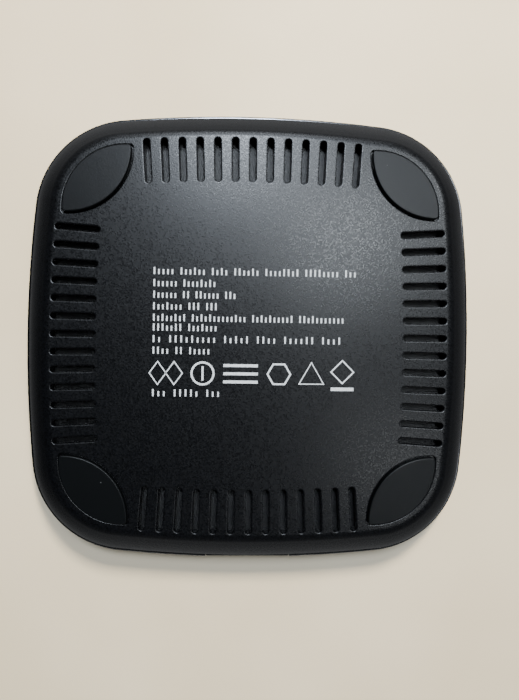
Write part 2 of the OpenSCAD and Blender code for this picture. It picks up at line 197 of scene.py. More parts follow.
def grain(tree, spacing, detail=2.0, stretch=(1, 1, 1), roughness=0.5):
    # noise whose spots are spacing apart, in metres, on the piece's own coordinates
    place = addNode(tree, "TexCoord")
    fit = addNode(tree, "Mapping", {"Scale": stretch}, Vector=place.outputs["Object"])
    noise = addNode(tree, "TexNoise", {"Scale": 1 / spacing, "Detail": detail, "Roughness": roughness},
                    Vector=fit.outputs["Vector"])
    return noise.outputs["Fac"]


def tinted(tree, shader, level, dark, light, low=0.35, high=0.65):
    # the base colour runs from dark, where level is low, to light, where it is high
    ramp = addNode(tree, "ValToRGB", None, Fac=level)
    ramp.color_ramp.elements[0].position = low
    ramp.color_ramp.elements[0].color = toLinear(dark)
    ramp.color_ramp.elements[1].position = high
    ramp.color_ramp.elements[1].color = toLinear(light)
    tree.links.new(ramp.outputs["Color"], shader.inputs["Base Color"])
    return ramp


def varied(tree, shader, level, low, high):
    # the roughness runs from low to high as level runs from 0 to 1
    spread = addNode(tree, "MapRange", {"To Min": low, "To Max": high}, Value=level)
    tree.links.new(spread.outputs["Result"], shader.inputs["Roughness"])


def bumped(tree, shader, height, strength, distance):
    # distance is the relief's real depth, in metres
    bump = addNode(tree, "Bump", {"Strength": strength, "Distance": distance}, Height=height)
    tree.links.new(bump.outputs["Normal"], shader.inputs["Normal"])


def sparkTexturedAbs():
    # injection-moulded ABS from a spark-eroded mould: black, with tiny craters that glitter in its sheen.
    # Real craters are about 0.06 mm across, drawn at 0.26 mm so that they show.
    material, tree, shader = newMaterial("sparkTexturedAbs", 0.3)
    place = addNode(tree, "TexCoord")
    craters = addNode(tree, "TexVoronoi", {"Scale": 1 / (0.26 * mm)}, Vector=place.outputs["Object"])
    # every crater has its own gloss and its own shade of black
    mark = addNode(tree, "SeparateColor", None, Color=craters.outputs["Color"])
    varied(tree, shader, mark.outputs["Red"], 0.235, 0.37)
    tinted(tree, shader, mark.outputs["Green"], "#060607", "#111215", 0, 1)
    bumped(tree, shader, craters.outputs["Distance"], 0.5, 0.015 * mm)
    return material


def mouldedRubber():
    # moulded nitrile feet: a duller black than the cover, bluish, with specks of dust
    material, tree, shader = newMaterial("mouldedRubber", 0.36, Specular_IOR_Level=0.3)
    fine = grain(tree, 0.4 * mm, 3)
    dust = grain(tree, 1.3 * mm, 1)
    ramp = tinted(tree, shader, dust, "#0d0f10", "#8b8d8c", 0.79, 0.83)
    ramp.color_ramp.interpolation = "EASE"
    varied(tree, shader, fine, 0.32, 0.4)
    bumped(tree, shader, fine, 0.3, 0.04 * mm)
    return material


def polishedGunmetal():
    # turned metal with a dark polished plating: mirror-like, with faint lines that run round the edge
    material, tree, shader = newMaterial("polishedGunmetal", 0.16, metallic=1.0)
    lines = grain(tree, 0.25 * mm, 3, stretch=(0.05, 0.05, 1))
    tinted(tree, shader, lines, "#646569", "#77787b")
    varied(tree, shader, lines, 0.12, 0.20)
    bumped(tree, shader, lines, 0.1, 0.004 * mm)
    return material


def satinAbs():
    # moulded ABS with a fine satin finish: smoother and blacker than the underside
    material, tree, shader = newMaterial("satinAbs", 0.36)
    fine = grain(tree, 0.2 * mm, 3)
    soft = grain(tree, 14 * mm, 2)
    tinted(tree, shader, soft, "#0b0b0c", "#101012")
    varied(tree, shader, fine, 0.32, 0.40)
    bumped(tree, shader, fine, 0.12, 0.01 * mm)
    return material


def smoothAbs():
    # moulded ABS from a polished mould: black and a little glossy
    material, tree, shader = newMaterial("smoothAbs", 0.28)
    soft = grain(tree, 3 * mm, 2)
    tinted(tree, shader, soft, "#090909", "#0f0f10")
    varied(tree, shader, soft, 0.24, 0.32)
    return material


def mouldedSilicone():
    # moulded silicone: soft dark grey with a dry, even sheen
    material, tree, shader = newMaterial("mouldedSilicone", 0.55, Sheen_Weight=0.15, Sheen_Roughness=0.5)
    fine = grain(tree, 0.3 * mm, 3)
    tinted(tree, shader, fine, "#1a1b1c", "#242526")
    bumped(tree, shader, fine, 0.2, 0.01 * mm)
    return material


def dustCloth():
    # calendered polyester cloth: black, pressed smooth, with crossing fibres that catch the light.
    # Real fibres are about 0.05 mm, drawn at 0.3 mm so that they show.
    material, tree, shader = newMaterial("dustCloth", 0.32)
    fibres = grain(tree, 0.3 * mm, 3, roughness=0.7)
    tinted(tree, shader, fibres, "#060607", "#1a1b1d", 0.4, 0.7)
    varied(tree, shader, fibres, 0.2, 0.46)
    bumped(tree, shader, fibres, 1.0, 0.1 * mm)
    return material


def printedInk():
    # pad-printed pale grey ink: thin, a little broken up by the grain under it
    material, tree, shader = newMaterial("printedInk", 0.6)
    fine = grain(tree, 0.18 * mm, 2)
    tinted(tree, shader, fine, "#a9aeb1", "#d6dadc", 0.3, 0.6)
    return material


def plainMoulding(name, dark, light, roughness, spacing=2.0, depth=0.01, metallic=0.0):
    # the inner parts' finishes: two close tones and a fine relief
    material, tree, shader = newMaterial(name, roughness, metallic=metallic)
    noise = grain(tree, spacing * mm, 3)
    tinted(tree, shader, noise, dark, light)
    varied(tree, shader, noise, roughness * 0.9, min(1.0, roughness * 1.1))
    bumped(tree, shader, noise, 0.2, depth * mm)
    return material


def litzCopper():
    # enamelled stranded copper: strands twisted at a slant, red-gold and glossy
    material, tree, shader = newMaterial("litzCopper", 0.35, metallic=1.0)
    place = addNode(tree, "TexCoord")
    strands = addNode(tree, "TexWave", {"wave_type": "RINGS", "rings_direction": "Z", "Scale": 1 / (7 * mm),
                                        "Distortion": 2.0, "Detail": 2.0}, Vector=place.outputs["Object"])
    tinted(tree, shader, strands.outputs["Fac"], "#8a4a26", "#d98a56", 0.2, 0.8)
    bumped(tree, shader, strands.outputs["Fac"], 0.4, 0.06 * mm)
    return material


def solderMask():
    # green solder mask over copper: glossy, with the tracks showing as a lighter green
    material, tree, shader = newMaterial("solderMask", 0.32, Coat_Weight=0.3, Coat_Roughness=0.2)
    place = addNode(tree, "TexCoord")
    tracks = addNode(tree, "TexBrick", {"Scale": 1 / (6 * mm), "Mortar Size": 0.06, "Brick Width": 1.1,
                                        "Row Height": 0.4, "Color1": toLinear("#0c4a2b"),
                                        "Color2": toLinear("#0a3f25"), "Mortar": toLinear("#1d7a49")},
                     Vector=place.outputs["Object"])
    tree.links.new(tracks.outputs["Color"], shader.inputs["Base Color"])
    bumped(tree, shader, tracks.outputs["Fac"], 0.3, 0.035 * mm)
    return material


# Shapes that several pieces use

def loft(name, rings, closed=False):
    # a circle of vertices is laid on the first ring, then extruded from ring to ring.
    # The ends get faces, or with closed the last ring is brought back onto the first.
    deselectAll()
    bpy.ops.mesh.primitive_circle_add(vertices=len(rings[0]), radius=1 * mm, fill_type="NOTHING")
    piece = named(name)
    piece.data.attributes.new("order", "INT", "POINT").data.foreach_set("value", range(len(rings[0])))
    bpy.ops.object.mode_set(mode="EDIT")
    bpy.ops.mesh.select_mode(type="EDGE")
    bpy.ops.mesh.select_all(action="SELECT")
    rings = rings + rings[:1] if closed else rings
    for step, ring in enumerate(rings):
        if step:
            bpy.ops.mesh.extrude_edges_move()
        mesh = bmesh.from_edit_mesh(piece.data)
        order = mesh.verts.layers.int["order"]
        for v in mesh.verts:
            if v.select:
                v.co = ring[v[order]]
        bmesh.update_edit_mesh(piece.data)
        if not closed and step in (0, len(rings) - 1):
            bpy.ops.mesh.edge_face_add()
    bpy.ops.object.mode_set(mode="OBJECT")
    piece.data.attributes.remove(piece.data.attributes["order"])
    return cleanNormals(piece)


def lifted(points, z):
    return [(p[0], p[1], z) for p in points]


def circlePoints(radius, steps, centre=(0, 0)):
    return [(centre[0] + radius * math.cos(2 * math.pi * i / steps),
             centre[1] + radius * math.sin(2 * math.pi * i / steps)) for i in range(steps)]


def boxCorners(w, h):
    return [(w, h), (-w, h), (-w, -h), (w, -h)]


def roundedPoints(corners, radius, steps):
    # a convex outline, anticlockwise, with each corner rounded
    points = []
    for i in range(len(corners)):
        here, before, after = (Vector(corners[j]) for j in (i, i - 1, (i + 1) % len(corners)))
        back, ahead = (before - here).normalized(), (after - here).normalized()
        half = math.acos(max(-1, min(1, back.dot(ahead)))) / 2
        centre = here + (back + ahead).normalized() * radius / math.sin(half)
        start = math.atan2(*reversed((here + back * radius / math.tan(half) - centre)))
        sweep = math.pi - 2 * half
        points += [(centre.x + radius * math.cos(start + sweep * k / steps),
                    centre.y + radius * math.sin(start + sweep * k / steps)) for k in range(steps + 1)]
    return points


def quarterRound(wide, deep, steps):
    # pairs that run from (0, deep) to (wide, 0): out and down over a rounded mouth
    return [(wide * (1 - math.cos(math.pi / 2 * i / steps)), deep * (1 - math.sin(math.pi / 2 * i / steps)))
            for i in range(steps + 1)]


# The foot's leaf: two arcs that cross, with rounded tips. The cover's sizes place it.

leaf = {"edgeToBevel": 1.6 * mm, "bowRadius": 13.4 * mm, "width": 9.6 * mm, "tipRadius": 0.7 * mm,
        "gap": 0.25 * mm, "arcSteps": 26, "tipSteps": 9}
cover = {"bevelRun": 6.2 * mm, "bevelSlope": 26, "bevelSteps": 18, "bevelStart": 0.06, "rimInset": 0.5 * mm,
         "groove": 0.4 * mm, "lipWidth": 1 * mm, "lipHeight": 1.1 * mm, "fit": 0.1 * mm, "crease": 4 * mm,
         "creaseSteps": 8, "floorIn": 2 * mm, "recessDepth": 0.6 * mm, "recessLip": (0.24 * mm, 0.1 * mm),
         "recessSteps": 4, "slotLip": (0.32 * mm, 0.12 * mm), "slotSteps": 5}
leafOut = outline["cornerRadius"] - cover["bevelRun"] - leaf["edgeToBevel"]
leafSpan = leafOut - leaf["width"] + leaf["bowRadius"]


def leafPoints(gap, inset=0.0):
    r1, r2, tip = leafOut - gap, leaf["bowRadius"] - gap, leaf["tipRadius"]
    a = (leafSpan ** 2 + (r1 - tip) ** 2 - (r2 - tip) ** 2) / (2 * leafSpan)
    t = math.sqrt((r1 - tip) ** 2 - a * a)
    outAngle, bowAngle = math.atan2(t, a), math.atan2(t, a - leafSpan)
    arcs = [((0, 0), r1, -outAngle, outAngle, leaf["arcSteps"]),
            ((a, t), tip, outAngle, bowAngle, leaf["tipSteps"]),
            ((leafSpan, 0), r2, bowAngle, 2 * math.pi - bowAngle, leaf["arcSteps"]),
            ((a, -t), tip, 2 * math.pi - bowAngle, 2 * math.pi - outAngle, leaf["tipSteps"])]
    points = []
    diagonal = math.sqrt(0.5)
    for centre, radius, start, end, steps in arcs:
        for i in range(steps):
            angle = start + (end - start) * i / steps
            x = centre[0] + (radius - inset) * math.cos(angle)
            y = centre[1] + (radius - inset) * math.sin(angle)
            points.append((cornerCentre + diagonal * (x - y), cornerCentre + diagonal * (x + y)))
    return points


def obroundPoints(width, length, steps):
    # upright slot outline with round ends, about its own middle
    reachUp = (length - width) / 2
    points = []
    for end in (1, -1):
        for i in range(steps + 1):
            angle = math.pi * i / steps + (0 if end == 1 else math.pi)
            points.append((width / 2 * math.cos(angle), end * reachUp + width / 2 * math.sin(angle)))
    return points


# Rear cover

slots = {"length": 9.2 * mm, "width": 1.3 * mm, "pitch": 3.7 * mm, "fanRadius": 332 * mm, "margin": 1.2 * mm,
         "endSteps": 9, "cutterAbove": 0.5 * mm}
slotIn = screenLow.y + slots["margin"]
slotOut = slotIn + slots["length"]
slotsHalf = round((screenHigh.x - slots["margin"] - slots["width"] / 2) / slots["pitch"])
frameWidth = 2.5 * mm
rimZ = ringLow.z
frameTop = ringHigh.z
screws = {"headRadius": 1.9 * mm, "shankRadius": 1.1 * mm, "bossRadius": 3.2 * mm, "headSink": 1.4 * mm,
          "headGap": 0.1 * mm, "bossHeight": 1.6 * mm, "postRadius": 2.2 * mm, "pilotRadius": 1 * mm,
          "pilotDepth": 3 * mm, "boardHeadRadius": 1.8 * mm, "root": 0.9 * mm, "shankAbove": 2 * mm}
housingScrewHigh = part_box("housing_screws")[1]
housingScrewAt = (housingScrewHigh.x + housingScrewHigh.y) / 2 - screws["headRadius"] + screws["headGap"]
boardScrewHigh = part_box("board_screws")[1]
boardScrewAt = (boardScrewHigh.x - screws["boardHeadRadius"], boardScrewHigh.y - screws["boardHeadRadius"])
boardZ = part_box("circuit_board")[0].z


def rearProfile():
    run = cover["bevelRun"] - cover["rimInset"]
    rise = rimZ - undersideZ
    slope = math.radians(cover["bevelSlope"])
    radius = math.hypot(run, rise) / (2 * math.sin(math.atan2(rise, run) - slope))
    cInset = cover["bevelRun"] + radius * math.sin(slope)
    cZ = undersideZ + radius * math.cos(slope)
    inner = radius - (floorZ - undersideZ)
    grooveSlope = math.acos((cZ - rimZ + cover["groove"]) / radius)
    floorSlope = math.acos((cZ - floorZ) / inner)
    lipIn = frameWidth + cover["fit"] + cover["lipWidth"]
    lipSlope = math.asin((cInset - lipIn) / inner)
    # the crease between the flat and the bevel is a small arc that is tangent to both
    run = cover["crease"] * math.tan(slope / 2)
    turns = [slope * i / cover["creaseSteps"] for i in range(cover["creaseSteps"] + 1)]
    crease = [(cover["bevelRun"] + run - cover["crease"] * math.sin(turn),
               undersideZ + cover["crease"] * (1 - math.cos(turn))) for turn in turns]
    first = slope + run / radius
    steps = cover["bevelSteps"]

    def along(r, start, end):
        return [(cInset - r * math.sin(start + (end - start) * i / steps),
                 cZ - r * math.cos(start + (end - start) * i / steps)) for i in range(steps + 1)]

    outer = along(radius, first + (grooveSlope - first) * cover["bevelStart"], grooveSlope)
    grooveIn = cover["rimInset"] + cover["groove"]
    rim = [(grooveIn, rimZ - cover["groove"]), (grooveIn, rimZ), (frameWidth + cover["fit"], rimZ),
           (frameWidth + cover["fit"], rimZ + cover["lipHeight"]), (lipIn, rimZ + cover["lipHeight"])]
    floor = [(cover["bevelRun"] + cover["floorIn"], floorZ)]
    return crease + outer + rim + along(inner, lipSlope, floorSlope) + floor


def mouthCutter(name, pointsAt, deepZ, lip, steps):
    # a plug that is pushed in from below and flares at the underside, to leave a rounded mouth
    rings = [lifted(pointsAt(0), deepZ)]
    rings += [lifted(pointsAt(out), undersideZ + rise) for out, rise in quarterRound(*lip, steps)]
    rings.append(lifted(pointsAt(lip[0]), undersideZ - past))
    return loft(name, rings)


def turnedFour(piece, name):
    copies = [copied(piece, turn=quarter * math.pi / 2) for quarter in (1, 2, 3)]
    return joined(name, [piece] + copies)


def placedAt(piece, places, name):
    copies = [copied(piece, move=(x, y, 0)) for x, y in places]
    bpy.data.objects.remove(piece)
    return joined(name, copies)


def squarePlaces(x, y):
    return [(sx * x, sy * y) for sx in (-1, 1) for sy in (-1, 1)]


def column(radius, low, high, steps=32):
    deselectAll()
    bpy.ops.mesh.primitive_cylinder_add(vertices=steps, radius=radius, depth=high - low,
                                        location=(0, 0, (low + high) / 2))
    return settle(named("column"))


def block(low, high):
    deselectAll()
    middle = (Vector(low) + Vector(high)) / 2
    bpy.ops.mesh.primitive_cube_add(size=1, location=middle, scale=Vector(high) - Vector(low))
    return settle(named("block"))


port = {"width": 18.5 * mm, "skirtIn": 3.8 * mm, "fit": 0.1 * mm}


def portCutter(gap):
    side = port["width"] / 2 + gap
    return block((-side, halfWidth - port["skirtIn"] - past, rimZ), (side, halfWidth + past, frameTop))


def makeRearCover():
    shell = loft("rearCoverShell", [lifted(outlinePoints(inset), z) for inset, z in rearProfile()])

    boss = column(screws["bossRadius"], floorZ - screws["root"], floorZ + screws["bossHeight"])
    cut(shell, placedAt(boss, squarePlaces(housingScrewAt, housingScrewAt), "bosses"), "UNION")
    post = column(screws["postRadius"], floorZ - screws["root"], boardZ)
    cut(shell, placedAt(post, squarePlaces(*boardScrewAt), "posts"), "UNION")

    def slotPoints(out):
        return obroundPoints(slots["width"] + 2 * out, slots["length"] + 2 * out, slots["endSteps"])

    slot = mouthCutter("slotCutter", slotPoints, floorZ + slots["cutterAbove"], cover["slotLip"],
                       cover["slotSteps"])
    row = []
    for k in range(-slotsHalf, slotsHalf + 1):
        turn = -k * math.asin(slots["pitch"] / slots["fanRadius"])
        reachOut = slots["fanRadius"] - slots["length"] / 2
        centre = (-reachOut * math.sin(turn), slotOut - slots["fanRadius"] + reachOut * math.cos(turn), 0)
        row.append(copied(slot, turn=turn, move=centre))
    bpy.data.objects.remove(slot)
    cut(shell, turnedFour(joined("slotRow", row), "slotCutters"))

    recess = mouthCutter("recessCutter", lambda out: leafPoints(0, -out), undersideZ + cover["recessDepth"],
                         cover["recessLip"], cover["recessSteps"])
    cut(shell, turnedFour(recess, "recessCutters"))

    places = squarePlaces(housingScrewAt, housingScrewAt)
    recessZ = undersideZ + cover["recessDepth"]
    sink = column(screws["headRadius"], undersideZ, recessZ + screws["headSink"])
    cut(shell, placedAt(sink, places, "sinks"))
    hole = column(screws["shankRadius"], undersideZ, floorZ + screws["shankAbove"], 24)
    cut(shell, placedAt(hole, places, "holes"))
    pilot = column(screws["pilotRadius"], boardZ - screws["pilotDepth"], boardZ + past, 24)
    cut(shell, placedAt(pilot, squarePlaces(*boardScrewAt), "pilots"))
    cut(shell, portCutter(port["fit"]))
    return smooth(shell)


# Metal frame, and what is set into it

ring = {"chamfer": 0.4 * mm, "steps": 6, "innerChamfer": 0.12 * mm}
lightPipe = {"width": 2.4 * mm, "height": 1 * mm, "edge": 0.12 * mm, "leg": 1 * mm}
portZ = (rimZ + frameTop) / 2


def pipeCutter(depth):
    side, rise = lightPipe["width"] / 2 + port["fit"], lightPipe["height"] / 2 + port["fit"]
    return block((-side, -halfWidth - past, portZ - rise), (side, depth - halfWidth, portZ + rise))


def makeMetalFrame():
    r, small = ring["chamfer"], ring["innerChamfer"]
    lower = [(inset, rimZ + rise) for inset, rise in reversed(quarterRound(r, r, ring["steps"]))]
    upper = [(inset, rimZ + frameTop - z) for inset, z in reversed(lower)]
    inner = [(frameWidth - small, frameTop), (frameWidth, frameTop - small), (frameWidth, rimZ + small),
             (frameWidth - small, rimZ)]
    band = loft("metalFrameRing", [lifted(outlinePoints(inset), z) for inset, z in lower + upper + inner],
                closed=True)
    cut(band, portCutter(0))
    cut(band, pipeCutter(frameWidth + past))
    return smooth(band)


bezel = {"edge": 0.25 * mm, "steps": 5, "mouthEdge": 0.2 * mm, "mouthGap": 0.1 * mm,
         "cornerRadius": 0.35 * mm, "leastRadius": 0.1 * mm, "cornerSteps": 4}
socket = {"width": 7.5 * mm, "height": 2.6 * mm, "chamfer": 1 * mm, "wall": 0.3 * mm, "lip": 0.12 * mm,
          "cornerRadius": 0.2 * mm}
bezelLow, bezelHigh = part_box("port_bezel")
shellLow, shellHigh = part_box("usb_socket_shell")


def sideY(x):
    # where the bowed +Y side lies at x
    return sideCentre + math.sqrt(outline["sideRadius"] ** 2 - x * x)


def socketPoints(grow, steps=3):
    # the socket's mouth in X and Z: a trapezoid that is keyed by its two cut corners, below
    w, h, c = socket["width"] / 2 + grow, socket["height"] / 2 + grow, socket["chamfer"]
    corners = [(w, h), (-w, h), (-w, c - h), (c - w, -h), (w - c, -h), (w, c - h)]
    return roundedPoints(corners, socket["cornerRadius"] + max(grow, -socket["cornerRadius"] / 2), steps)


def makePortBezel():
    w, h = (bezelHigh.x - bezelLow.x) / 2, (bezelHigh.z - bezelLow.z) / 2
    front = port["fit"]

    def ringAt(inset, back):
        radius = max(bezel["cornerRadius"] - inset, bezel["leastRadius"])
        points = roundedPoints(boxCorners(w - inset, h - inset), radius, bezel["cornerSteps"])
        return [(x, sideY(x) - front - back, portZ + z) for x, z in points]

    rings = [ringAt(rise, out) for out, rise in quarterRound(bezel["edge"], bezel["edge"], bezel["steps"])]
    rings += [[(x, bezelLow.y, z) for x, y, z in ringAt(0, 0)]]
    insert = loft("portBezelInsert", rings)
    mouth = [(bezel["mouthGap"] + out, rise)
             for out, rise in quarterRound(bezel["mouthEdge"], bezel["mouthEdge"], bezel["steps"])]
    cutterRings = [[(x, bezelLow.y - past, portZ + z) for x, z in socketPoints(bezel["mouthGap"])]]
    for out, rise in mouth:
        cutterRings.append([(x, sideY(x) - front - rise, portZ + z) for x, z in socketPoints(out)])
    cutterRings.append([(x, halfWidth + past, portZ + z) for x, z in socketPoints(mouth[-1][0])])
    cut(insert, loft("mouthCutter", cutterRings))
    return smooth(insert)


def makeSocketShell():
    # a folded steel tube with a closed back, whose front edges are rounded over
    wall, lip = socket["wall"], socket["lip"]
    front, back = shellHigh.y, shellLow.y
    steps = [(0, back), (0, front - lip), (-0.3 * lip, front - 0.3 * lip), (-lip, front), (lip - wall, front),
             (0.3 * lip - wall, front - 0.3 * lip), (-wall, front - lip), (-wall, back + wall)]
    rings = [[(x, y, portZ + z) for x, z in socketPoints(grow)] for grow, y in steps]
    return smooth(loft("usbSocketShell", rings))


def makeLightPipe():
    w, h, e = lightPipe["width"] / 2, lightPipe["height"] / 2, lightPipe["edge"]
    low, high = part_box("light_pipe")
    legBack = high.y
    rings = []
    for inset, y in ((e, low.y), (0.3 * e, low.y + 0.3 * e), (0, low.y + e), (0, legBack)):
        points = roundedPoints(boxCorners(w - inset, h - inset), e, 3)
        rings.append([(x, y, portZ + z) for x, z in points])
    pipe = loft("lightPipeBar", rings)
    cut(pipe, block((-w, legBack - lightPipe["leg"], low.z), (w, legBack, portZ)), "UNION")
    return smooth(pipe)


# Top cover, and the silicone ring let into it

top = {"edgeRadius": 1.1 * mm, "edgeSteps": 10, "skirtIn": 3.8 * mm, "flatIn": 2 * mm, "insideIn": 3 * mm,
       "postRadius": 2.6 * mm, "postRoot": 0.5 * mm, "screwEnd": 1.5 * mm, "grooveDepth": 0.6 * mm,
       "grooveEdge": 0.08 * mm}
grip = {"width": 2.4 * mm, "round": 0.35 * mm, "steps": 5, "turnSteps": 160}
gripRadius = gripHigh.x + port["fit"] - grip["width"] / 2


def makeTopCover():
    skirtZ = rimZ + cover["lipHeight"] + cover["fit"]
    r, rimInset, edgeIn = top["edgeRadius"], cover["rimInset"], frameWidth + cover["fit"]
    edge = [(rimInset + inset, topHigh.z - drop) for inset, drop in quarterRound(r, r, top["edgeSteps"])]
    profile = [(top["skirtIn"] + top["insideIn"], frameTop), (top["skirtIn"], frameTop),
               (top["skirtIn"], skirtZ), (edgeIn, skirtZ), (edgeIn, frameTop), (rimInset, frameTop)]
    profile += edge + [(rimInset + r + top["flatIn"], topHigh.z)]
    shell = loft("topCoverShell", [lifted(outlinePoints(inset), z) for inset, z in profile])
    places = squarePlaces(housingScrewAt, housingScrewAt)
    post = column(top["postRadius"], topLow.z, frameTop + top["postRoot"])
    cut(shell, placedAt(post, places, "posts"), "UNION")
    pilot = column(screws["pilotRadius"], topLow.z - past, frameTop - top["screwEnd"], 24)
    cut(shell, placedAt(pilot, places, "pilots"))

    # the groove that the silicone ring sits in, with slightly rounded edges
    half, lip = grip["width"] / 2, top["grooveEdge"]
    side = [(half, topHigh.z - top["grooveDepth"]), (half, topHigh.z - lip),
            (half + 0.3 * lip, topHigh.z - 0.3 * lip), (half + lip, topHigh.z),
            (half + lip, topHigh.z + past)]
    section = side + [(-x, z) for x, z in reversed(side)]
    rings = [lifted(circlePoints(gripRadius + x, grip["turnSteps"]), z) for x, z in section]
    cut(shell, loft("grooveCutter", rings, closed=True))
    cut(shell, portCutter(port["fit"]))
    cut(shell, pipeCutter(top["skirtIn"] + past))
    return smooth(shell)


def makeGripRing():
    half, r = gripHigh.x - gripRadius, grip["round"]
    edge = [(half - inset, gripHigh.z - drop) for inset, drop in quarterRound(r, r, grip["steps"])]
    side = [(half, gripLow.z)] + edge
    section = side + [(-x, z) for x, z in reversed(side)]
    rings = [lifted(circlePoints(gripRadius + x, grip["turnSteps"]), z) for x, z in section]
    return smooth(loft("siliconeGripRing", rings, closed=True))


# Feet

foot = {"edge": 0.28 * mm, "steps": 5}


def makeFoot():
    low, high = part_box("foot_rear_right")
    rings = [lifted(leafPoints(leaf["gap"]), high.z)]
    for inset, rise in quarterRound(foot["edge"], foot["edge"], foot["steps"]):
        rings.append(lifted(leafPoints(leaf["gap"], inset), low.z + rise))
    return smooth(loft("footPad", rings))


# Dust screens: pressed trays that are bonded over the slots by their rims

screen = {"rim": 0.3 * mm, "slope": 0.25 * mm, "rise": 1.05 * mm, "thickness": 0.18 * mm, "corner": 1.2 * mm}


def makeDustScreen():
    low, high = screenLow, screenHigh
    raised = screen["rim"] + screen["slope"]
    rings = []
    for inset, z in ((0, low.z), (screen["rim"], low.z), (raised, low.z + screen["rise"])):
        corners = [(high.x - inset, high.y - inset), (low.x + inset, high.y - inset),
                   (low.x + inset, low.y + inset), (high.x - inset, low.y + inset)]
        rings.append((roundedPoints(corners, screen["corner"] - inset * 0.5, 4), z))
    t = screen["thickness"]
    below = [lifted(points, z) for points, z in reversed(rings)]
    above = [lifted(points, z + t) for points, z in rings]
    return smooth(loft("dustScreen", below + above))


# Printed marks: rows of small bars where the real pad has its print, and six plain shapes

marks = {"bar": 0.34 * mm, "low": 1.05 * mm, "tall": 1.46 * mm, "depth": 0.012 * mm,
         "stroke": 0.42 * mm, "left": -20.1 * mm, "tallShare": 0.25}
# each row: its place in Y, its length, both in mm, then the bars in each of its groups
markRows = [(-13.3, 42.7, (5, 6, 4, 6, 8, 8, 3)), (-10.8, 13.3, (6, 8)), (-8.4, 17.5, (6, 2, 6, 3)),
            (-6.0, 13.7, (7, 3, 3)), (-3.6, 40.2, (8, 13, 10, 11)), (-1.6, 13.7, (7, 7)),
            (0.8, 39.8, (2, 9, 5, 4, 6, 4)), (3.2, 12.3, (4, 2, 5)), (12.0, 14.6, (3, 5, 3))]


# each hollow shape: its middle in mm, its sides, its radius in mm, its stretch across and its turn in degrees
hollowMarks = [(-19.2, 7.9, 4, 2.6, 0.72, 0), (-15.8, 7.9, 4, 2.6, 0.72, 0), (-9.9, 7.9, 32, 2.5, 1, 0),
               (6.0, 7.9, 6, 2.6, 1, 0), (12.8, 8.4, 3, 3.2, 1, -90), (19.3, 7.3, 4, 2.6, 1, 0)]
# each plain bar: its middle, its width and its height, in mm
barMarks = [(-9.9, 7.9, 0.42, 3), (-2, 6.2, 7.2, 0.6), (-2, 7.9, 7.2, 0.6), (-2, 9.6, 7.2, 0.6),
            (19.3, 10.9, 4.8, 0.7)]


def bar(x, y, width, height):
    return block((x - width / 2, y - height / 2, undersideZ - marks["depth"]),
                 (x + width / 2, y + height / 2, undersideZ))


def hollowShape(x, y, sides, radius, stretch, turn):
    # a flat ring with straight or round sides
    low = undersideZ - marks["depth"]
    rings = []
    for z, strokes in ((low, 0), (undersideZ, 0), (undersideZ, 1), (low, 1)):
        r = radius - strokes * marks["stroke"]
        rings.append([(x + stretch * r * math.cos(turn + 2 * math.pi * i / sides),
                       y + r * math.sin(turn + 2 * math.pi * i / sides), z) for i in range(sides)])
    return loft("hollowShape", rings, closed=True)


def makePrintedMarks():
    random.seed(11)
    tallBar = bar(0, 0, marks["bar"], marks["tall"])
    lowBar = bar(0, (marks["tall"] - marks["low"]) / 2, marks["bar"], marks["low"])
    pieces = []
    for y, length, words in markRows:
        x = marks["left"]
        pitch = length * mm / (sum(words) + len(words) - 1)
        for word in words:
            for nth in range(word):
                source = tallBar if nth == 0 or random.random() < marks["tallShare"] else lowBar
                pieces.append(copied(source, move=(x, y * mm, 0)))
                x += pitch
            x += pitch
    bpy.data.objects.remove(tallBar)
    bpy.data.objects.remove(lowBar)
    for x, y, sides, radius, stretch, turn in hollowMarks:
        pieces.append(hollowShape(x * mm, y * mm, sides, radius * mm, stretch, math.radians(turn)))
    for place in barMarks:
        pieces.append(bar(*(value * mm for value in place)))
    return cleanNormals(joined("printedMarks", pieces))


# Making every piece

def finished(piece, material, slot, *nodes):
    piece.data.materials.clear()
    piece.data.materials.append(material)
    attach(piece, "root")
    if nodes:
        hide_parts(*nodes)
    print("made", piece.name, len(piece.data.polygons), "faces")


